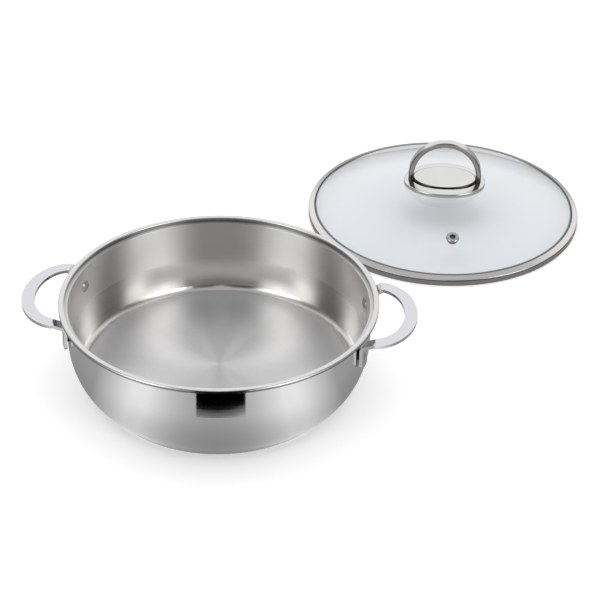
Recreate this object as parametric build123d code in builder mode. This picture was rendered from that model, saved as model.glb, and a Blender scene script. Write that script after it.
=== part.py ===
"""Low stewpot with two riveted loop handles, and its glass lid lying beside it.

Millimetres, +Z up. The origin is the centre of the pot's underside, on the table.
The right handle points along +X, turned a little towards -Y. The lid lies behind it on the right.
"""

import os
from math import asin, cos, degrees, hypot, radians, sin, sqrt

from build123d import *

os.makedirs("parts", exist_ok=True)

# Pot, overall
lip_radius = 125.0
pot_height = 81.0
sheet = 1.1
lip_overhang = 6.1           # lip edge to the outside of the upright wall
floor_height = 18.2          # table to the cooking floor

# Pot, rim and lid seat
lip_depth = 2.6              # how far the lip's edge curls down
lip_sheet = 1.5
lip_curl = 1.1               # width of the curled edge
lip_round = 0.7
lip_width = 4.4              # lip edge to the lid's seat
seat_clearance = 0.6         # between the lid's rim and its seat, on the radius
seat_depth = 3.6
shoulder_rise = 1.6          # height of the slope under the seat, on the outside

# Pot, lower curve: a quarter ellipse from the upright wall in to the base
curve_top = 52.4             # table to the top of the curve
curve_width = 37.8
curve_height = 52.6
floor_corner = 7.0

# Base: an aluminium core under the floor, closed by a pressed steel cap
cap_height = 4.3
cap_sheet = 1.0
cap_overhang = 1.2           # how far the pot stands out past the cap
cap_round = 1.2

# Handles: flat strap loops, each end bent down to a riveted tab
handle_turn = -4.7           # degrees about +Z, from +X
handle_drop = 5.4            # strap top below the lip top
strap_width = 10.2
strap_thickness = 2.6
loop_reach = 30.2            # outermost point of the strap, out from the lip's edge
loop_start = 3.2             # middle of the loop's oval, in from the lip's edge
loop_span = 90.8             # overall width of the loop
tab_angle = 17.6             # each tab, from the middle of its handle
tab_gap = 1.3                # tab to wall, filled at the rivet by its collar
tab_end = 30.2               # below the lip top
tab_corner = 3.0
arm_flat_end = 5.8           # where the arm starts to slope, out from the lip's edge
arm_flat_start = 7.3         # where the arm leaves the loop, out from the lip's edge
arm_fall = 27.0              # degrees
arm_bend = 5.5
strap_edge = 0.5

# Handle rivets
rivet_drop = 20.2            # below the lip top
rivet_shank = 2.5
rivet_head = 4.8
rivet_head_height = 2.0
rivet_collar = 4.2
shank_play = 0.05

# Lid
lid_x = 189.6
lid_y = 268.0
lid_rise = 33.5              # table to the top of the glass
lid_band = 0.8
flange_width = 4.7
flange_sheet = 0.7
foot_width = 3.5
foot_sheet = 0.6
glass_thickness = 4.0
glass_play = 0.1
glass_edge_height = 5.2      # table to the top of the glass at its edge
band_round = 0.6

# Knob
knob_turn = -3.0             # degrees about +Z, from +X
base_length = 72.0
base_width = 56.4
base_sheet = 3.2
base_edge = 1.0
pad_length = 56.0
pad_width = 37.2
pad_rise = 2.5
pad_edge = 0.6
loop_length = 64.0
loop_rise = 38.5             # above the base's rim
loop_leg = 5.0
loop_bar = 4.4
loop_width = 8.4
loop_edge = 0.8
gasket_sheet = 0.5
gasket_inner = 12.0
gasket_outer = 20.0
gasket_play = 0.15           # gasket to knob base
screw_radius = 2.5
screw_depth = 2.6            # length of thread inside the base, which closes over it
screw_head = 4.8
screw_head_height = 2.6
screw_slot = 1.2
washer_radius = 9.0
washer_sheet = 1.0
seal_radius = 10.0
seal_sheet = 1.5
seal_sleeve = 1.3
seal_play = 0.1

# Steam vent in the lid
vent_x = 4.3                 # from the lid's middle
vent_y = -77.0
vent_hole = 2.3
vent_tube = 0.75
vent_flange = 5.8
vent_flange_height = 1.6
vent_roll = 4.0              # radius of the rolled inner end
vent_washer_radius = 4.6
vent_washer_sheet = 0.8
vent_play = 0.1              # washer to glass, whose inside is slightly round

# Heights and radii that follow from the sizes above
wall_radius = lip_radius - lip_overhang
floor_top = floor_height
floor_under = floor_top - sheet
curve_z = curve_top
curve_r = wall_radius - curve_width
inner_wall = wall_radius - sheet
seat_radius = lip_radius - lip_width
lid_radius = seat_radius - seat_clearance
seat_z = pot_height - seat_depth


def on_curve(inset, z):
    """Angle on the lower curve, moved in by inset, at height z."""
    return asin((curve_z - z) / (curve_height - inset))


def curve_radius(inset, z):
    """Radius of the lower curve, moved in by inset, at height z."""
    return curve_r + (curve_width - inset) * cos(on_curve(inset, z))


def lower_curve(inset, z_from, z_to):
    """The lower curve of the pot as one arc between two heights."""
    start, end = degrees(on_curve(inset, z_from)), degrees(on_curve(inset, z_to))
    return EllipticalCenterArc(
        (curve_r, curve_z),
        curve_width - inset,
        curve_height - inset,
        start_angle=-start,
        arc_size=start - end,
    )


def corner(sketch, x, y):
    """The sketch vertex nearest to a point."""
    return sketch.vertices().sort_by_distance((x, y, 0))[0]


def radial_plane(angle):
    """A vertical plane through the pot's axis: x runs outwards and y runs up."""
    c, s = cos(radians(angle)), sin(radians(angle))
    return Plane(origin=(0, 0, 0), x_dir=(c, s, 0), z_dir=(s, -c, 0))


def outward_plane(angle, radius, z):
    """A plane square to a radius of the pot, its normal outwards."""
    c, s = cos(radians(angle)), sin(radians(angle))
    return Plane(origin=(radius * c, radius * s, z), x_dir=(-s, c, 0), z_dir=(c, s, 0))


handle_angles = {"right": handle_turn, "left": handle_turn + 180}
tab_angles = {
    side: (angle - tab_angle, angle + tab_angle) for side, angle in handle_angles.items()
}
rivet_z = pot_height - rivet_drop

# Pot body: one pressed sheet, with a rolled lip, a seat for the lid and a skirt round the base
with BuildPart() as pot_body:
    with BuildSketch(Plane.XZ) as section:
        with BuildLine():
            outer = lower_curve(0, cap_height, curve_z)
            Polyline(
                outer @ 1,
                (wall_radius, seat_z - sheet - shoulder_rise),
                (seat_radius + sheet, seat_z - sheet),
                (seat_radius + sheet, pot_height - lip_sheet),
                (lip_radius - lip_curl, pot_height - lip_sheet),
                (lip_radius - lip_curl, pot_height - lip_depth),
                (lip_radius, pot_height - lip_depth),
                (lip_radius, pot_height),
                (seat_radius, pot_height),
                (seat_radius, seat_z),
                (inner_wall, seat_z),
                (inner_wall, curve_z),
            )
            inner = lower_curve(sheet, curve_z, floor_top)
            Polyline(
                inner @ 1,
                (0, floor_top),
                (0, floor_under),
                (curve_radius(sheet, floor_under), floor_under),
            )
            skirt = lower_curve(sheet, floor_under, cap_height)
            Line(skirt @ 1, outer @ 0)
        make_face()
        fillet(corner(section, curve_radius(sheet, floor_top), floor_top), floor_corner)
        fillet(corner(section, lip_radius, pot_height), lip_round * 1.4)
        fillet(corner(section, seat_radius, pot_height), lip_round)
        fillet(corner(section, inner_wall, seat_z), sheet * 0.4)
        fillet(corner(section, wall_radius, seat_z - sheet - shoulder_rise), sheet)
    revolve(axis=Axis.Z)
    for side in tab_angles:
        for angle in tab_angles[side]:
            with BuildSketch(outward_plane(angle, wall_radius, rivet_z)):
                Circle(rivet_shank + shank_play)
            extrude(amount=sheet * 2, both=True, mode=Mode.SUBTRACT)
pot_body.part.label = "pot_body"
export_step(pot_body.part, "parts/pot_body.step")

# Base core: aluminium, poured flat under the floor and down into the cap
cap_radius = curve_radius(0, cap_height) - cap_overhang
core_radius = cap_radius - cap_sheet
with BuildPart() as base_core:
    with BuildSketch(Plane.XZ):
        with BuildLine():
            edge = lower_curve(sheet, floor_under, cap_height)
            Polyline(
                edge @ 1,
                (core_radius, cap_height),
                (core_radius, cap_sheet),
                (0, cap_sheet),
                (0, floor_under),
                edge @ 0,
            )
        make_face()
    revolve(axis=Axis.Z)
base_core.part.label = "base_core"
export_step(base_core.part, "parts/base_core.step")

# Base cap: a shallow steel dish pressed over the core
with BuildPart() as base_cap:
    with BuildSketch(Plane.XZ) as section:
        with BuildLine():
            Polyline(
                (0, 0),
                (cap_radius, 0),
                (cap_radius, cap_height),
                (core_radius, cap_height),
                (core_radius, cap_sheet),
                (0, cap_sheet),
                close=True,
            )
        make_face()
        fillet(corner(section, cap_radius, 0), cap_round)
    revolve(axis=Axis.Z)
base_cap.part.label = "base_cap"
export_step(base_cap.part, "parts/base_cap.step")

# Handles: a flat oval loop, with an arm at each end that slopes down and turns into the tab
strap_top = pot_height - handle_drop
strap_under = strap_top - strap_thickness
tab_inner = wall_radius + tab_gap
tab_outer = tab_inner + strap_thickness
tab_low = pot_height - tab_end
loop_middle = lip_radius - loop_start
loop_a = loop_reach + loop_start
loop_b = loop_span / 2
loop_end = (lip_radius + arm_flat_end) * cos(radians(tab_angle))
arm_drop = (lip_radius + arm_flat_end - tab_inner) * sin(radians(arm_fall)) / cos(radians(arm_fall))
for side, turn in handle_angles.items():
    loop_plane = Plane(
        origin=(0, 0, strap_under),
        x_dir=(cos(radians(turn)), sin(radians(turn)), 0),
        z_dir=(0, 0, 1),
    )
    with BuildPart() as handle:
        with BuildSketch(loop_plane):
            with Locations((loop_middle, 0)):
                Ellipse(loop_a, loop_b)
                Ellipse(loop_a - strap_width, loop_b - strap_width, mode=Mode.SUBTRACT)
            with Locations((loop_end - loop_a, 0)):
                Rectangle(2 * loop_a, 2 * loop_b * 1.1, mode=Mode.SUBTRACT)
        extrude(amount=strap_thickness)
        for angle in tab_angles[side]:
            with BuildSketch(radial_plane(angle)):
                with BuildLine():
                    FilletPolyline(
                        (lip_radius + arm_flat_start, strap_top),
                        (lip_radius + arm_flat_end, strap_top),
                        (tab_inner, strap_top - arm_drop),
                        (tab_inner, tab_low),
                        radius=(arm_bend * 0.9, arm_bend),
                    )
                    offset(amount=strap_thickness, side=Side.LEFT)
                make_face()
            extrude(amount=strap_width / 2, both=True)
        tab_ends = handle.edges().filter_by(
            lambda e: abs(e.center().Z - tab_low) < strap_width / 2
            and abs(e.length - strap_thickness) < 0.01
        )
        fillet(tab_ends, tab_corner)
        for angle in tab_angles[side]:
            with BuildSketch(outward_plane(angle, tab_inner, rivet_z)):
                Circle(rivet_shank + shank_play)
            extrude(amount=strap_thickness * 2, both=True, mode=Mode.SUBTRACT)
    handle.part.label = side + "_handle"
    export_step(handle.part, "parts/" + side + "_handle.step")

    # Rivets: domed head inside the pot, collar between wall and tab, end ground flush with the tab
    head_seat = sqrt(inner_wall ** 2 - rivet_head ** 2)
    with BuildPart() as rivets:
        for angle in tab_angles[side]:
            with BuildSketch(radial_plane(angle)):
                with BuildLine():
                    dome = ThreePointArc(
                        (head_seat - rivet_head_height, rivet_z),
                        (
                            head_seat - rivet_head_height * 0.62,
                            rivet_z + rivet_head * 0.72,
                        ),
                        (head_seat, rivet_z + rivet_head),
                    )
                    Polyline(
                        dome @ 1,
                        (head_seat, rivet_z + rivet_shank),
                        (wall_radius, rivet_z + rivet_shank),
                        (wall_radius, rivet_z + rivet_collar),
                        (tab_inner, rivet_z + rivet_collar),
                        (tab_inner, rivet_z + rivet_shank),
                        (tab_outer, rivet_z + rivet_shank),
                        (tab_outer, rivet_z),
                        dome @ 0,
                    )
                make_face()
            c, s = cos(radians(angle)), sin(radians(angle))
            revolve(axis=Axis((0, 0, rivet_z), (c, s, 0)))
    rivets.part.label = side + "_handle_rivets"
    export_step(rivets.part, "parts/" + side + "_handle_rivets.step")

# Lid: frame and dome. The glass is a cap of a ball, with its edge standing on the rim's foot
lid_plane = Plane(origin=(lid_x, lid_y, 0), x_dir=(1, 0, 0), z_dir=(0, -1, 0))
lid_axis = Axis((lid_x, lid_y, 0), (0, 0, 1))
glass_radius = lid_radius - lid_band - glass_play
dome_rise = lid_rise - glass_edge_height
dome_radius = (glass_radius ** 2 + dome_rise ** 2) / (2 * dome_rise)
dome_z = lid_rise - dome_radius


def dome_height(offset_out, r):
    """Height of the dome, moved out by offset_out, at distance r from the lid's middle."""
    return dome_z + sqrt((dome_radius + offset_out) ** 2 - r ** 2)


def dome_arc(offset_out, r_from, r_to):
    """An arc along the dome, in the lid's section."""
    r_mid = (r_from + r_to) / 2
    return ThreePointArc(
        (r_from, dome_height(offset_out, r_from)),
        (r_mid, dome_height(offset_out, r_mid)),
        (r_to, dome_height(offset_out, r_to)),
    )


vent_r = hypot(vent_x, vent_y)
vent_plane = Plane(
    origin=(
        lid_x + vent_x,
        lid_y + vent_y,
        dome_height(0, vent_r),
    ),
    x_dir=(1, 0, -vent_x / (dome_height(0, vent_r) - dome_z)),
    z_dir=(vent_x, vent_y, dome_height(0, vent_r) - dome_z),
)
sleeve_radius = screw_radius + seal_sleeve
with BuildPart() as lid_glass:
    with BuildSketch(lid_plane):
        with BuildLine():
            top = dome_arc(0, 0, glass_radius)
            under = dome_arc(-glass_thickness, glass_radius, 0)
            Line(top @ 1, under @ 0)
            Line(under @ 1, top @ 0)
        make_face()
    revolve(axis=lid_axis)
    with BuildSketch(Plane.XY):
        with Locations((lid_x, lid_y)):
            Circle(sleeve_radius + seal_play)
    extrude(amount=lid_rise * 2, mode=Mode.SUBTRACT)
    with BuildSketch(vent_plane):
        Circle(vent_hole + vent_tube + seal_play)
    extrude(amount=glass_thickness * 2, both=True, mode=Mode.SUBTRACT)
lid_glass.part.label = "lid_glass"
export_step(lid_glass.part, "parts/lid_glass.step")

# Lid rim: a steel channel rolled round the edge of the glass
band_inner = lid_radius - lid_band
with BuildPart() as lid_rim:
    with BuildSketch(lid_plane) as section:
        with BuildLine():
            flange = dome_arc(flange_sheet, lid_radius, lid_radius - flange_width)
            flange_under = dome_arc(0, lid_radius - flange_width, band_inner)
            Polyline(
                flange_under @ 1,
                (band_inner, foot_sheet),
                (lid_radius - foot_width, foot_sheet),
                (lid_radius - foot_width, 0),
                (lid_radius, 0),
                flange @ 0,
            )
            Line(flange @ 1, flange_under @ 0)
        make_face()
        fillet(corner(section, lid_radius, dome_height(flange_sheet, lid_radius)), band_round)
        fillet(corner(section, lid_radius, 0), band_round)
    revolve(axis=lid_axis)
lid_rim.part.label = "lid_rim"
export_step(lid_rim.part, "parts/lid_rim.step")

# Knob gasket: a silicone ring between the glass and the knob's base
with BuildPart() as knob_gasket:
    with BuildSketch(lid_plane):
        with BuildLine():
            over = dome_arc(gasket_sheet, gasket_inner, gasket_outer)
            below = dome_arc(0, gasket_outer, gasket_inner)
            Line(over @ 1, below @ 0)
            Line(below @ 1, over @ 0)
        make_face()
    revolve(axis=lid_axis)
knob_gasket.part.label = "knob_gasket"
export_step(knob_gasket.part, "parts/knob_gasket.step")

# Knob base: an oval steel plate that follows the dome, with a raised oval pad
knob_plane = Plane(
    origin=(lid_x, lid_y, 0),
    x_dir=(cos(radians(knob_turn)), sin(radians(knob_turn)), 0),
    z_dir=(0, 0, 1),
)
base_top = dome_height(gasket_sheet + base_sheet, 0)
rim_level = dome_height(gasket_sheet + base_sheet, loop_length / 2)
pad_top = rim_level + pad_rise
with BuildPart() as knob_base:
    with BuildSketch(knob_plane.offset(lid_rise - dome_rise / 2)):
        Ellipse(base_length / 2, base_width / 2)
    extrude(amount=dome_rise)
    with BuildSketch(lid_plane):
        with BuildLine():
            over = dome_arc(gasket_sheet + base_sheet, 0, base_length)
            below = dome_arc(gasket_sheet + gasket_play, base_length, 0)
            Line(over @ 1, below @ 0)
            Line(below @ 1, over @ 0)
        make_face()
    revolve(axis=lid_axis, mode=Mode.INTERSECT)
    fillet(knob_base.faces().sort_by(Axis.Z)[-1].outer_wire().edges(), base_edge)
    with BuildSketch(knob_plane.offset(dome_height(gasket_sheet, 0) + base_sheet / 2)):
        Ellipse(pad_length / 2, pad_width / 2)
    extrude(amount=pad_top - dome_height(gasket_sheet, 0) - base_sheet / 2)
    fillet(knob_base.faces().sort_by(Axis.Z)[-1].outer_wire().edges(), pad_edge)
    with BuildSketch(Plane.XY):
        with Locations((lid_x, lid_y)):
            Circle(screw_radius + shank_play)
    extrude(amount=dome_height(gasket_sheet, 0) + screw_depth, mode=Mode.SUBTRACT)
knob_base.part.label = "knob_base"
export_step(knob_base.part, "parts/knob_base.step")

# Knob loop: an arched bar whose feet are welded to the ends of the base
loop_side = Plane(
    origin=(lid_x, lid_y, rim_level),
    x_dir=(cos(radians(knob_turn)), sin(radians(knob_turn)), 0),
    z_dir=(sin(radians(knob_turn)), -cos(radians(knob_turn)), 0),
)
arch = loop_rise - loop_leg
with BuildPart() as knob_loop:
    with BuildSketch(loop_side):
        with Locations((0, loop_leg)):
            Ellipse(loop_length / 2, arch)
            Ellipse(loop_length / 2 - loop_bar, arch - loop_bar, mode=Mode.SUBTRACT)
        with Locations((0, loop_leg - arch)):
            Rectangle(loop_length * 2, arch * 2, mode=Mode.SUBTRACT)
        with Locations(
            ((loop_length - loop_bar) / 2, loop_leg / 2 - base_sheet / 4),
            (-(loop_length - loop_bar) / 2, loop_leg / 2 - base_sheet / 4),
        ):
            Rectangle(loop_bar, loop_leg + base_sheet / 2)
    extrude(amount=loop_width / 2, both=True)
    long_edges = knob_loop.edges().filter_by(
        lambda e: abs(abs((e.center() - loop_side.origin).dot(loop_side.z_dir)) - loop_width / 2) < 0.01
        and e.center().Z > rim_level
    )
    chamfer(long_edges, loop_edge)
    add(knob_base.part, mode=Mode.SUBTRACT)
knob_loop.part.label = "knob_loop"
export_step(knob_loop.part, "parts/knob_loop.step")

# Knob seal: a silicone bush through the glass, with its flange under the glass
seal_top = dome_height(-glass_thickness, seal_radius)
seal_low = seal_top - seal_sheet
with BuildPart() as knob_seal:
    with BuildSketch(Plane.XY.offset(seal_low)):
        with Locations((lid_x, lid_y)):
            Circle(seal_radius)
    extrude(amount=seal_sheet)
    with BuildSketch(Plane.XY.offset(seal_low)):
        with Locations((lid_x, lid_y)):
            Circle(sleeve_radius)
    extrude(amount=dome_height(gasket_sheet, sleeve_radius) - seal_low)
    with BuildSketch(Plane.XY.offset(seal_low)):
        with Locations((lid_x, lid_y)):
            Circle(screw_radius + shank_play)
    extrude(amount=lid_rise, mode=Mode.SUBTRACT)
knob_seal.part.label = "knob_seal"
export_step(knob_seal.part, "parts/knob_seal.step")

# Knob washer: steel, between the seal and the screw's head
washer_low = seal_low - washer_sheet
with BuildPart() as knob_washer:
    with BuildSketch(Plane.XY.offset(washer_low)):
        with Locations((lid_x, lid_y)):
            Circle(washer_radius)
            Circle(screw_radius + shank_play, mode=Mode.SUBTRACT)
    extrude(amount=washer_sheet)
knob_washer.part.label = "knob_washer"
export_step(knob_washer.part, "parts/knob_washer.step")

# Knob screw: slotted head under the lid, thread up into the base
with BuildPart() as knob_screw:
    with BuildSketch(Plane.XY.offset(washer_low - screw_head_height)):
        with Locations((lid_x, lid_y)):
            Circle(screw_head)
    extrude(amount=screw_head_height)
    fillet(knob_screw.edges().sort_by(Axis.Z)[0], screw_head_height * 0.4)
    with BuildSketch(Plane.XY.offset(washer_low - screw_head_height)):
        with Locations((lid_x, lid_y)):
            Rectangle(screw_head * 2.2, screw_slot)
    extrude(amount=screw_slot, mode=Mode.SUBTRACT)
    with BuildSketch(Plane.XY.offset(washer_low)):
        with Locations((lid_x, lid_y)):
            Circle(screw_radius)
    extrude(amount=dome_height(gasket_sheet, 0) + screw_depth - washer_low - shank_play)
knob_screw.part.label = "knob_screw"
export_step(knob_screw.part, "parts/knob_screw.step")

# Vent eyelet: a steel tube through the glass, flanged on top and rolled over its washer inside
vent_section = Plane(
    origin=vent_plane.origin, x_dir=vent_plane.x_dir, z_dir=vent_plane.y_dir * -1
)
vent_low = -glass_thickness - vent_play - vent_washer_sheet
with BuildPart() as vent_eyelet:
    with BuildSketch(vent_section) as section:
        with BuildLine():
            Polyline(
                (vent_hole, vent_low - vent_tube),
                (vent_roll, vent_low - vent_tube),
                (vent_roll, vent_low),
                (vent_hole + vent_tube, vent_low),
                (vent_hole + vent_tube, 0),
                (vent_flange, 0),
                (vent_flange, vent_flange_height),
                (vent_hole, vent_flange_height),
                close=True,
            )
        make_face()
        fillet(corner(section, vent_flange, vent_flange_height), vent_flange_height * 0.6)
        fillet(corner(section, vent_hole, vent_flange_height), vent_flange_height * 0.5)
        fillet(corner(section, vent_roll, vent_low - vent_tube), vent_tube * 0.6)
    revolve(axis=Axis(vent_plane.origin, vent_plane.z_dir))
vent_eyelet.part.label = "vent_eyelet"
export_step(vent_eyelet.part, "parts/vent_eyelet.step")

# Vent washer: a steel ring under the glass that the eyelet is rolled over
with BuildPart() as vent_washer:
    with BuildSketch(vent_plane.offset(vent_low)):
        Circle(vent_washer_radius)
        Circle(vent_hole + vent_tube + shank_play, mode=Mode.SUBTRACT)
    extrude(amount=vent_washer_sheet)
vent_washer.part.label = "vent_washer"
export_step(vent_washer.part, "parts/vent_washer.step")
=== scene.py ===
import math

import bpy
from mathutils import Matrix, Vector


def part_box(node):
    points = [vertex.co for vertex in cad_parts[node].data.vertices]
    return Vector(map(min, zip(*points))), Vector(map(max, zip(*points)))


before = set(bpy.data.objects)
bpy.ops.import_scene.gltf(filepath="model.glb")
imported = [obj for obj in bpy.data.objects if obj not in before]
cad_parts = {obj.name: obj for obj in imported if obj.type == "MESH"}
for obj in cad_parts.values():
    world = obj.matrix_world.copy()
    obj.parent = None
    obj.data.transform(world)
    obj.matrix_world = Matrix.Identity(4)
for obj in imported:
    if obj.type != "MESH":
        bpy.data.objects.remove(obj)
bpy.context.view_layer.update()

scene = bpy.context.scene

# Pot body. One sheet of stainless steel, deep drawn, its edge rolled into a lip.
# Outside it is polished like a mirror. Inside, the wall and the floor are brushed on a lathe,
# so the scratches run round the pot and light fans out on the floor from its middle.


class Line:
    """A socket of a node tree that can be used in sums."""

    def __init__(self, tree, socket):
        self.tree = tree
        self.socket = socket

    def node(self, kind, settings=None, values=None, out=0):
        """Adds a node. Settings are set first, then the sockets, by name or by number."""
        made = self.tree.nodes.new(kind)
        for name, value in (settings or {}).items():
            if name == "stops":
                ramp = made.color_ramp
                while len(ramp.elements) > 1:
                    ramp.elements.remove(ramp.elements[-1])
                for i, (place, colour) in enumerate(value):
                    stop = ramp.elements[0] if i == 0 else ramp.elements.new(place)
                    stop.position = place
                    stop.color = rgba(colour)
            else:
                setattr(made, name, value)
        for name, value in (values or {}).items():
            socket = made.inputs[name]
            if isinstance(value, Line):
                self.tree.links.new(value.socket, socket)
            else:
                socket.default_value = value
        return Line(self.tree, made.outputs[out])

    def sum(self, operation, *values):
        return self.node("ShaderNodeMath", {"operation": operation}, dict(enumerate(values)))

    def __add__(self, other):
        return self.sum("ADD", self, other)

    def __radd__(self, other):
        return self.sum("ADD", other, self)

    def __sub__(self, other):
        return self.sum("SUBTRACT", self, other)

    def __rsub__(self, other):
        return self.sum("SUBTRACT", other, self)

    def __mul__(self, other):
        return self.sum("MULTIPLY", self, other)

    def __rmul__(self, other):
        return self.sum("MULTIPLY", other, self)

    def __truediv__(self, other):
        return self.sum("DIVIDE", self, other)

    def __rtruediv__(self, other):
        return self.sum("DIVIDE", other, self)

    def root(self):
        return self.sum("SQRT", self)

    def greys(self, *stops):
        """A ramp of greys, each stop given as its place and its brightness."""
        colours = [(place, (grey, grey, grey)) for place, grey in stops]
        return self.node("ShaderNodeValToRGB", {"stops": colours}, {"Fac": self})

    def between(self, low, high):
        """0 up to low and 1 from high on, smooth in between. With low above high it falls instead."""
        return self.node(
            "ShaderNodeMapRange",
            {"interpolation_type": "SMOOTHSTEP"},
            {"Value": self, "From Min": low, "From Max": high},
        )

    def mix(self, first, second):
        """The colour first where this is 0 and second where it is 1."""
        colour_a, colour_b, colour_result = 6, 7, 2
        return self.node(
            "ShaderNodeMix",
            {"data_type": "RGBA"},
            {"Factor": self, colour_a: rgba(first), colour_b: rgba(second)},
            out=colour_result,
        )

    def axis(self, name):
        return self.node("ShaderNodeSeparateXYZ", None, {0: self}, out=name)


def rgba(colour):
    """A colour of three numbers as four; anything else as it is."""
    return (*colour, 1.0) if isinstance(colour, tuple) and len(colour) == 3 else colour


def new_material(name, **fixed):
    """A material with fixed values on its shader. Gives it, the place on the object, and the shader."""
    made = bpy.data.materials.new(name)
    made.use_nodes = True
    tree = made.node_tree
    shader = next(n for n in tree.nodes if n.type == "BSDF_PRINCIPLED")
    for key, value in fixed.items():
        shader.inputs[key.replace("_", " ")].default_value = rgba(value)
    place = tree.nodes.new("ShaderNodeTexCoord")
    return made, Line(tree, place.outputs["Object"]), shader


def feed(shader, **values):
    """Links values to the shader's sockets."""
    for key, value in values.items():
        value.tree.links.new(value.socket, shader.inputs[key.replace("_", " ")])


def bump(height, distance, strength):
    return height.node(
        "ShaderNodeBump", None, {"Strength": strength, "Distance": distance, "Height": height}
    )


def noise(place, scale, detail=2.0, roughness=0.5):
    return place.node(
        "ShaderNodeTexNoise",
        None,
        {"Vector": place, "Scale": scale, "Detail": detail, "Roughness": roughness},
    )


def vector(x, y, z):
    return z.node("ShaderNodeCombineXYZ", None, {0: x, 1: y, 2: z})


def polar(place, middle=(0.0, 0.0)):
    """Distance from an upright axis, and the direction as its cosine and sine."""
    tiny = 1e-5
    x = place.axis("X") - middle[0]
    y = place.axis("Y") - middle[1]
    r = (x * x + y * y).root()
    return r, x / (r + tiny), y / (r + tiny)


def turning(place, around=1.0, up=0.0, out=0.0, scale=3.0, detail=3.0, roughness=0.5, middle=(0.0, 0.0)):
    """Scratches that run round an upright axis, with how fast they change around, up and outwards."""
    r, cosine, sine = polar(place, middle)
    steps = place.axis("Z") * up + r * out
    return noise(vector(cosine * around, sine * around, steps), scale, detail, roughness)


def dress(node, *materials, choose=lambda face: 0):
    """Puts materials on a CAD node. choose gives each face its number in the list."""
    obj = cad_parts[node]
    obj.data.materials.clear()
    for made in materials:
        obj.data.materials.append(made)
    for face in obj.data.polygons:
        face.material_index = choose(face)
    return obj


pot_low, pot_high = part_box("pot_body")
pot_top = pot_high.z
lip_radius = (pot_high.x - pot_low.x) / 2
lip_overhang = 0.0061
wall_radius = lip_radius - lip_overhang
floor_level = pot_top - 0.0628
floor_radius = 0.1035
floor_fade = 0.003
curve_rise = 0.022
curve_fade = 0.006
seam_level = 0.0052
seam_fade = 0.001


def steel_outside():
    """Mirror finish with faint fine turning lines, and a painted shadow: a dark line in the seam above
    the base cap.
    """
    made, place, shader = new_material(
        "pot_mirror_steel", Metallic=1.0, Anisotropic=0.4, Anisotropic_Rotation=0.25
    )
    rings = turning(place, around=0.02, up=60.0, scale=14.0)
    cloud = noise(place, 9.0)
    # Painted shadow: a dark band just above the base cap, where it meets the pot.
    seam_shadow = place.axis("Z").between(seam_level + seam_fade, seam_level)
    steel = cloud.mix((0.715, 0.715, 0.722), (0.685, 0.685, 0.692))
    feed(
        shader,
        Base_Color=seam_shadow.mix(steel, (0.09, 0.09, 0.095)),
        Roughness=0.055 + rings * 0.05,
        Normal=bump(rings, distance=0.00002, strength=0.5),
    )
    return made


def steel_inside():
    """Brushed in rings: the wall's upper part is satin, its curve smoother, the floor satin again. The
    floor is painted a little lighter and cooler than the wall, with radial streaks: painted reflection
    and painted glints.
    """
    made, place, shader = new_material(
        "pot_brushed_steel", Metallic=1.0, Anisotropic=0.93, Anisotropic_Rotation=0.25
    )
    fine = turning(place, around=0.6, up=900.0, out=900.0, detail=4.0, roughness=0.65)
    coarse = turning(place, around=0.4, up=160.0, out=160.0, detail=2.0)
    grain = fine * 0.6 + coarse * 0.4
    # Painted glints: radial streaks on the floor, fanning out from its middle.
    painted_glints = turning(place, scale=7.0, detail=4.0, roughness=0.7)
    curve_top = floor_level + curve_rise
    low_wall = place.axis("Z").between(curve_top + curve_fade, curve_top)
    on_floor = polar(place)[0].between(floor_radius + floor_fade, floor_radius)
    smooth = low_wall * (1.0 - on_floor)
    grain_and_glints = grain * 0.65 + painted_glints * on_floor * 0.35 + (1.0 - on_floor) * 0.17
    feed(
        shader,
        # The floor's steel is painted lighter and cooler than the wall's: painted reflection.
        Base_Color=on_floor.mix(
            grain_and_glints.mix((0.70, 0.688, 0.675), (0.84, 0.828, 0.815)),
            grain_and_glints.mix((0.70, 0.70, 0.70), (0.87, 0.87, 0.872)),
        ),
        Roughness=0.32 - 0.16 * smooth + grain * 0.08,
        Normal=bump(grain, distance=0.00004, strength=0.35),
    )
    return made


def edge_steel(name, dark, light, rough, spread, **scratches):
    """The lip is bright. The recess that the lid drops into stays dark under it, painted with a dark
    copy of this steel: painted shade.
    """
    made, place, shader = new_material(name, Metallic=1.0)
    grain = turning(place, around=0.8, **scratches)
    feed(
        shader,
        Base_Color=grain.mix(dark, light),
        Roughness=rough + grain * spread,
        Normal=bump(grain, distance=0.00003, strength=0.3),
    )
    return made


pot_outside, pot_inside, pot_lip, pot_painted_shade = range(4)
seat_start, seat_end, seat_reach = 0.0007, 0.0037, 0.0050
curl_start, curl_end, curl_reach = 0.0012, 0.0030, 0.0012
lip_depth, lip_reach = 0.003, 0.0046
upward = 0.5
rim_clear = 0.001


def pot_zone(face):
    """Which steel a face has, from its depth under the lip's top and its way in from the edge."""
    depth = pot_top - face.center.z
    reach = lip_radius - math.hypot(face.center.x, face.center.y)
    inwards = face.center.x * face.normal.x + face.center.y * face.normal.y < 0
    # Painted shade in the recess under the lip, and a painted dark reflection under the curl.
    if inwards and seat_start < depth < seat_end and reach < seat_reach:
        return pot_painted_shade
    if curl_start < depth < curl_end and reach < curl_reach:
        return pot_painted_shade
    if depth < lip_depth and reach < lip_reach:
        return pot_lip
    if inwards or (face.normal.z > upward and depth > rim_clear):
        return pot_inside
    return pot_outside


dress(
    "pot_body",
    steel_outside(),
    steel_inside(),
    edge_steel("pot_lip_steel", (0.74, 0.74, 0.745), (0.80, 0.80, 0.805), 0.14, 0.08, out=700.0),
    # A dark copy of the lip steel: painted shade.
    edge_steel("pot_recess_painted_shade", (0.22, 0.218, 0.212), (0.34, 0.336, 0.33), 0.2, 0.1, up=700.0),
    choose=pot_zone,
)

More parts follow.
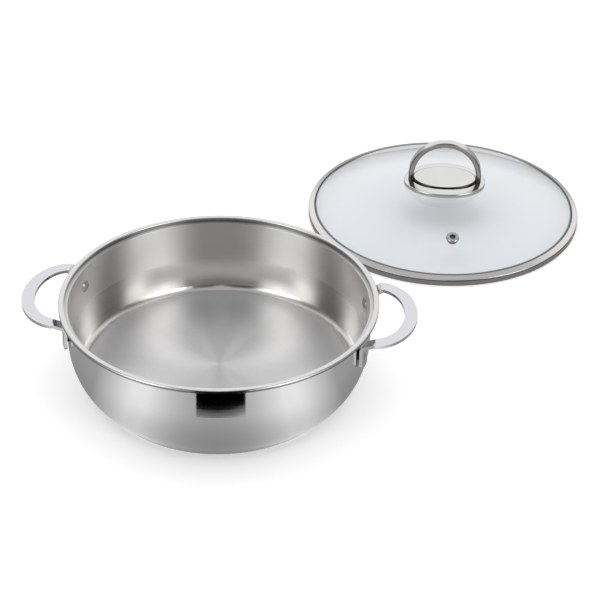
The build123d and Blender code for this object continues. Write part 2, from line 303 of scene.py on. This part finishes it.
# Base. An aluminium core lies hidden under the floor, and a pressed steel cap holds it.
# The cap is turned in fine rings, with a painted shadow: a dark line where it is pressed against the
# pot.

joint_level = 0.0030
joint_fade = 0.0006


def turned_grain(place):
    return turning(place, around=0.5, up=800.0, out=500.0)


def turned_steel(name, dark, light, rough):
    made, place, shader = new_material(name, Metallic=1.0)
    grain = turned_grain(place)
    feed(
        shader,
        Base_Color=grain.mix(dark, light),
        Roughness=rough + grain * 0.1,
        Normal=bump(grain, distance=0.00005, strength=0.4),
    )
    return made


def cap_steel():
    made, place, shader = new_material("base_cap_steel", Metallic=1.0)
    grain = turned_grain(place)
    # Painted shadow: the cap's top edge is dark where it meets the pot.
    joint_shadow = place.axis("Z").between(joint_level, joint_level + joint_fade)
    steel = grain.mix((0.66, 0.66, 0.68), (0.80, 0.80, 0.82))
    feed(
        shader,
        Base_Color=joint_shadow.mix(steel, (0.07, 0.07, 0.075)),
        Roughness=0.22 + grain * 0.1,
        Normal=bump(grain, distance=0.00005, strength=0.4),
    )
    return made


dress("base_cap", cap_steel())
dress("base_core", turned_steel("base_core_aluminium", (0.68, 0.68, 0.69), (0.76, 0.76, 0.77), 0.4))

# Handles. Each is a flat stainless strap, stamped as a loop, with both ends bent down to a tab.
# The broad upper face is satin and painted lighter, a painted top light; the edges and tabs are smoother
# and painted darker, painted shade.

broad_start, broad_full = 0.90, 0.995


def handle_steel():
    made, place, shader = new_material("handle_satin_steel", Metallic=1.0)
    cloud = noise(place, 60.0, detail=3.0)
    x, y, z = place.axis("X"), place.axis("Y"), place.axis("Z")
    grain = noise(vector(x * 40.0, y * 12.0, z * 300.0), 8.0, detail=3.0)
    level = place.node("ShaderNodeNewGeometry", out="Normal").axis("Z")
    satin_and_lit_top = level.between(broad_start, broad_full)
    feed(
        shader,
        # Painted light: faces that look up are lighter, and the edges and tabs darker.
        Base_Color=satin_and_lit_top.mix((0.62, 0.62, 0.62), (0.80, 0.80, 0.835)),
        Roughness=0.13 + 0.17 * satin_and_lit_top + cloud * 0.05,
        Normal=bump(grain, distance=0.00004, strength=0.3),
    )
    return made


satin = handle_steel()
for side in ("left", "right"):
    dress(side + "_handle", satin)

# Rivets. Two steel rivets hold each handle, one through each tab and the wall, domed inside.
# A collar on each keeps the tab off the wall. Little light reaches into that gap, so the collar is
# painted near black: painted shade.

collar_start, collar_end = wall_radius - 0.0002, wall_radius + 0.0015
# The rivet steel is painted dark: painted shade on the domed heads.
rivet_painted_dark_steel = turned_steel("rivet_painted_dark_steel", (0.38, 0.375, 0.37), (0.50, 0.49, 0.48), 0.22)
# Painted shade: the collar in the gap is near black.
collar_shade = turned_steel("rivet_collar_painted_shade", (0.03, 0.03, 0.03), (0.05, 0.05, 0.05), 0.4)


def rivet_zone(face):
    """0 for the rivet and 1 for its collar in the gap."""
    return int(collar_start < math.hypot(face.center.x, face.center.y) < collar_end)


for side in ("left", "right"):
    dress(side + "_handle_rivets", rivet_painted_dark_steel, collar_shade, choose=rivet_zone)

# Lid glass. A tempered glass dome, faintly blue, its ground edge held in the rim.
# It shows the floor behind it a little darkened. Where the rim begins, the glass is painted black:
# painted shade between glass and rim.

lid_low, lid_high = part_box("lid_rim")
lid_middle = ((lid_low.x + lid_high.x) / 2, (lid_low.y + lid_high.y) / 2)
lid_radius = (lid_high.x - lid_low.x) / 2
tint_start, tint_full = lid_radius * 0.94, lid_radius * 0.985
edge_shade_start, edge_shade_full = lid_radius - 0.0074, lid_radius - 0.0064


def tempered_glass():
    made, place, shader = new_material("lid_tempered_glass", IOR=1.47, Transmission_Weight=1.0)
    r = polar(place, lid_middle)[0]
    ripple = noise(place, 12.0, detail=1.0)
    tint = r.between(tint_start, tint_full).mix((0.80, 0.825, 0.855), (0.70, 0.735, 0.78))
    feed(
        shader,
        # Painted shade: the glass is black from where the rim begins outwards.
        Base_Color=r.between(edge_shade_start, edge_shade_full).mix(tint, (0.03, 0.03, 0.035)),
        Roughness=0.012 + ripple * 0.01,
        Normal=bump(ripple, distance=0.00005, strength=0.25),
    )
    return made


glass = dress("lid_glass", tempered_glass())
glass.visible_shadow = False
glass.visible_diffuse = False
glass.visible_glossy = False

# Lid rim. A stainless channel rolled round the glass, satin, brushed round the lid.
# Its side is painted darker than its upper flange, painted shade, with a painted dark crease between the
# two.

side_shade_level = 0.0050
side_shade_fade = 0.0006
crease_low, crease_high, crease_fade = 0.0044, 0.0056, 0.0004


def rim_steel():
    made, place, shader = new_material("lid_rim_steel", Metallic=1.0)
    grain = turning(place, around=0.7, up=900.0, out=700.0, middle=lid_middle)
    height = place.axis("Z")
    # Painted shade: the side below the flange is darker, and the crease between them darker still.
    side = height.between(side_shade_level + side_shade_fade, side_shade_level)
    past_crease = height.between(crease_high - crease_fade, crease_high)
    crease_shade = height.between(crease_low, crease_low + crease_fade) * (1.0 - past_crease)
    flange_and_shaded_side = side.mix(
        grain.mix((0.78, 0.765, 0.745), (0.90, 0.885, 0.865)),
        grain.mix((0.36, 0.35, 0.34), (0.48, 0.47, 0.46)),
    )
    feed(
        shader,
        Base_Color=crease_shade.mix(flange_and_shaded_side, (0.12, 0.118, 0.112)),
        Roughness=0.17 + grain * 0.1,
        Normal=bump(grain, distance=0.00004, strength=0.35),
    )
    return made


dress("lid_rim", rim_steel())

# Knob. A cast steel oval with a raised pad, and an arched bar welded to it, both polished.
# The groove round the pad and the bar's rounded edges are painted dark, painted shade; its flat sides
# are a little duller.

knob_low, knob_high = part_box("knob_base")
knob_middle = (knob_low + knob_high) / 2
knob_turn = math.radians(-3.0)
pad_half_length = 0.0280
pad_half_width = 0.0186
groove_start, groove_full = 0.91, 0.96
groove_fading, groove_end = 1.07, 1.14


def knob_polish(name, dark, light, rough):
    made, place, shader = new_material(name, Metallic=1.0)
    cloud = noise(place, 45.0)
    feed(
        shader,
        Base_Color=cloud.mix(dark, light),
        Roughness=rough + cloud * 0.07,
        Normal=bump(cloud, distance=0.00008, strength=0.15),
    )
    return made


def knob_plate_steel():
    """As the bar, with painted shade in the groove round the raised pad."""
    made, place, shader = new_material("knob_plate_steel", Metallic=1.0)
    cosine, sine = math.cos(knob_turn), math.sin(knob_turn)
    x, y = place.axis("X") - knob_middle.x, place.axis("Y") - knob_middle.y
    along = (x * cosine + y * sine) / pad_half_length
    across = (y * cosine - x * sine) / pad_half_width
    oval = along * along + across * across
    past_groove = oval.between(groove_fading, groove_end)
    # Painted shade: the groove round the pad is dark.
    groove_shade = oval.between(groove_start, groove_full) * (1.0 - past_groove)
    cloud = noise(place, 45.0)
    steel = cloud.mix((0.72, 0.72, 0.71), (0.80, 0.80, 0.79))
    feed(
        shader,
        Base_Color=groove_shade.mix(steel, (0.10, 0.098, 0.09)),
        Roughness=0.09 + cloud * 0.07 + groove_shade * 0.1,
        Normal=bump(cloud, distance=0.00008, strength=0.15),
    )
    return made


polish = knob_polish("knob_polished_steel", (0.72, 0.72, 0.71), (0.80, 0.80, 0.79), 0.08)
# Painted shade: a dark copy of the polished steel for the bar's rounded edges and the vent's bore.
shaded = knob_polish("knob_painted_shade", (0.16, 0.155, 0.15), (0.26, 0.255, 0.245), 0.16)
brushed = knob_polish("knob_side_steel", (0.60, 0.59, 0.58), (0.70, 0.69, 0.68), 0.16)
bar_broad, bar_edge, bar_side = range(3)
edge_lean, side_lean = 0.3, 0.9


def bar_zone(face):
    """Which finish a face of the bar has, from how far it leans across the bar."""
    lean = abs(face.normal.y * math.cos(knob_turn) - face.normal.x * math.sin(knob_turn))
    if lean > side_lean:
        return bar_side
    if lean > edge_lean:
        return bar_edge
    return bar_broad


dress("knob_base", knob_plate_steel())
dress("knob_loop", polish, shaded, brushed, choose=bar_zone)

# Knob fixing. One steel screw and washer hold the knob from inside, through a hole in the glass.
# A silicone gasket lies between knob and glass, and a bush of the same keeps the screw off it.


def silicone():
    made, place, shader = new_material("silicone", Roughness=0.6)
    cloud = noise(place, 80.0, detail=3.0)
    feed(
        shader,
        Base_Color=cloud.mix((0.60, 0.62, 0.65), (0.68, 0.70, 0.73)),
        Normal=bump(cloud, distance=0.0001, strength=0.3),
    )
    return made


soft = silicone()
small_steel = turned_steel("small_parts_steel", (0.62, 0.62, 0.62), (0.74, 0.74, 0.74), 0.14)
dress("knob_gasket", soft)
dress("knob_seal", soft)
dress("knob_screw", small_steel)
dress("knob_washer", small_steel)

# Steam vent. A small steel eyelet goes through a hole in the glass and is rolled over a washer
# underneath. Steam leaves through its bore, whose inside is painted dark: painted shade.

vent_low, vent_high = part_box("vent_eyelet")
vent_middle = (vent_low + vent_high) / 2
vent_bore = 0.0042
vent_upward = 0.8


def vent_zone(face):
    """0 for the flange and 1 for the bore."""
    r = math.hypot(face.center.x - vent_middle.x, face.center.y - vent_middle.y)
    return int(r < vent_bore and face.normal.z < vent_upward)


# The bore gets painted shade.
dress("vent_eyelet", small_steel, shaded, choose=vent_zone)
dress("vent_washer", small_steel)

# Studio floor. A matt pale sheet, white to the camera except where a shadow falls on it.
# To mirror rays alone it glows as a ring of greys round the pot, dim straight in front and brightest a
# little to each side of that, and dimmer near the pot: a painted reflection with a painted shadow.

floor_half = 6.0
floor_drop = 0.0002
floor_lift = 0.34
glass_share = 0.35
dim_radius, full_radius = 0.10, 0.205
dim_share = 0.70
black = (0.0, 0.0, 0.0)
white = (1.0, 1.0, 1.0)


def ray(line, kind):
    """1 for rays of one kind, such as Camera or Glossy, and 0 for the rest."""
    return line.node("ShaderNodeLightPath", out="Is " + kind + " Ray")


def facing_camera(x, y):
    """1 straight in front of the pot, 0.5 at its sides and 0 behind it, and the distance."""
    tiny = 1e-5
    r = (x * x + y * y).root()
    return (0.0 - y) / (r + tiny) * 0.5 + 0.5, r


def show(made, line, share, first, second):
    """Gives a material the shader first where share is 0 and second where it is 1."""
    blend = line.node("ShaderNodeMixShader", None, {0: share, 1: first, 2: second})
    out = next(n for n in line.tree.nodes if n.type == "OUTPUT_MATERIAL")
    line.tree.links.new(blend.socket, out.inputs["Surface"])
    return made


def floor_material():
    made, place, shader = new_material(
        "studio_floor",
        Base_Color=(0.93, 0.93, 0.935),
        Roughness=0.9,
        Specular_IOR_Level=0.0,
        Emission_Strength=floor_lift,
    )
    seen = ray(place, "Camera") + ray(place, "Transmission") * glass_share
    feed(shader, Emission_Color=seen.mix(black, white))
    front, r = facing_camera(place.axis("X"), place.axis("Y"))
    # Painted reflection: for mirror rays the floor glows as a ring of greys.
    ring = front.greys(
        (0.0, 0.42), (0.50, 0.40), (0.655, 0.46), (0.765, 0.80), (0.85, 1.12),
        (0.90, 1.10), (0.942, 0.86), (0.983, 0.58), (1.0, 0.48),
    )
    # Painted shadow: the glow is dimmer near the pot.
    glow_dim_near_pot = r.between(dim_radius, full_radius) * (1.0 - dim_share) + dim_share
    glow = place.node(
        "ShaderNodeBsdfPrincipled",
        None,
        {
            "Base Color": rgba(black),
            "Specular IOR Level": 0.0,
            "Emission Strength": 1.0,
            "Emission Color": glow_dim_near_pot.mix(black, ring),
        },
    )
    mirrored = ray(place, "Glossy") * (1.0 - ray(place, "Transmission"))
    return show(made, place, mirrored, Line(place.tree, shader.outputs[0]), glow)


bpy.ops.mesh.primitive_plane_add(size=floor_half * 2, location=(0, 0, -floor_drop))
floor = bpy.context.object
floor.name = "studio_floor"
floor.data.materials.append(floor_material())

# Black card. An upright card stands in front of the pot, a little to the right, faded at its foot.
# Only reflections see it: it is the dark square on the polished wall.

card_width = 0.078
card_low, card_high = 0.003, 0.11
card_place = 0.010
card_gap = 0.060
foot_low, foot_high = -0.5, -0.42
edge_low, edge_high = -0.405, -0.385
foot_cover = 0.66


def card_paint():
    made, place, shader = new_material("black_card", Base_Color=black, Specular_IOR_Level=0.0)
    up = place.axis("Y")
    foot = up.between(foot_low, foot_high) * foot_cover
    cover = foot + up.between(edge_low, edge_high) * (1.0 - foot_cover)
    clear = place.node("ShaderNodeBsdfTransparent")
    return show(made, place, cover, clear, Line(place.tree, shader.outputs[0]))


bpy.ops.mesh.primitive_plane_add(size=1, rotation=(math.pi / 2, 0, 0))
card = bpy.context.object
card.name = "black_card"
card.scale = (card_width, card_high - card_low, 1)
card.location = (card_place, -wall_radius - card_gap, (card_low + card_high) / 2)
card.data.materials.append(card_paint())
card.visible_camera = False
card.visible_diffuse = False
card.visible_shadow = False
card.visible_transmission = False

# Room. Two broad soft boxes in front, one on each side, a pale back wall and a grey ceiling.
# The gaps between them and the place where the camera stands are dark. Camera rays see white.
# Heights are given as the sine of the angle above the horizon.

ceiling_start, ceiling_full = 0.72, 0.90
skirting_end, skirting_full = 0.22, 0.06
skirting_share = 0.62
gap_low, gap_low_full = 0.10, 0.16
gap_high_fading, gap_high = 0.60, 0.68
gap_side, gap_full = 0.955, 0.972
ceiling = (0.50, 0.50, 0.505)
skirting = (0.20, 0.20, 0.20)
behind_camera = (0.035, 0.035, 0.035)
soft_light = (0.78, 0.78, 0.78)

world = bpy.data.worlds.new("studio_world")
scene.world = world
world.use_nodes = True
world.node_tree.nodes.clear()
coordinates = world.node_tree.nodes.new("ShaderNodeTexCoord")
direction = Line(world.node_tree, coordinates.outputs["Generated"])
rise = direction.axis("Z")
front = facing_camera(direction.axis("X"), direction.axis("Y"))[0]
boxes = front.greys(
    (0.0, 0.95), (0.20, 0.85), (0.33, 0.30), (0.56, 0.13), (0.66, 0.70), (0.75, 2.4),
    (0.85, 2.7), (0.91, 1.3), (0.945, 0.08), (0.992, 0.04), (1.0, 0.5),
)
room = rise.between(ceiling_start, ceiling_full).mix(boxes, ceiling)
room = (rise.between(skirting_end, skirting_full) * skirting_share).mix(room, skirting)
gap_rise = rise.between(gap_low, gap_low_full) * (1.0 - rise.between(gap_high_fading, gap_high))
camera_gap = (front * 2.0 - 1.0).between(gap_side, gap_full) * gap_rise
room = camera_gap.mix(room, behind_camera)
lit = ray(direction, "Diffuse").mix(room, soft_light)
seen = ray(direction, "Camera") + ray(direction, "Transmission")
backdrop = direction.node("ShaderNodeBackground", None, {"Color": seen.mix(lit, white)})
out = world.node_tree.nodes.new("ShaderNodeOutputWorld")
world.node_tree.links.new(backdrop.socket, out.inputs["Surface"])

# Top light. One broad soft box hangs over the floor and casts the soft shadow under the pot.
# It has no mirror image of its own, because the room already holds the steel's reflections.

top_place = Vector((0.0, 0.4, 1.8))
top_aim = Vector((0.0, 0.1, 0.0))
top_data = bpy.data.lights.new("top_box", "AREA")
top_data.shape = "RECTANGLE"
top_data.size, top_data.size_y = 2.0, 1.6
top_data.energy = 6
top_box = bpy.data.objects.new("top_box", top_data)
scene.collection.objects.link(top_box)
top_box.location = top_place
top_box.rotation_mode = "QUATERNION"
top_box.rotation_quaternion = (top_aim - top_place).to_track_quat("-Z", "Y")
top_box.visible_glossy = False

# Camera. A long lens about a metre up and a metre and a half in front, a little to the right.
# It looks about 33 degrees down, and is turned one degree about its line of sight.

camera_place = Vector((0.0631, -1.4911, 1.0592))
camera_pitch = 0.58085
camera_roll = 0.01692
focal_pixels = 2288.2
picture_pixels = 600
sensor_mm = 36.0
ahead = Vector((0, math.cos(camera_pitch), -math.sin(camera_pitch)))
level = Vector((1, 0, 0))
over = Vector((0, math.sin(camera_pitch), math.cos(camera_pitch)))
right = level * math.cos(camera_roll) + over * math.sin(camera_roll)
above = over * math.cos(camera_roll) - level * math.sin(camera_roll)
turn = Matrix((right, above, -ahead)).transposed().to_4x4()
lens = bpy.data.cameras.new("camera")
lens.sensor_width = sensor_mm
lens.lens = focal_pixels * sensor_mm / picture_pixels
lens.clip_start, lens.clip_end = 0.05, 50
camera = bpy.data.objects.new("camera", lens)
scene.collection.objects.link(camera)
camera.matrix_world = Matrix.Translation(camera_place) @ turn
scene.camera = camera
scene.view_settings.view_transform = "Standard"
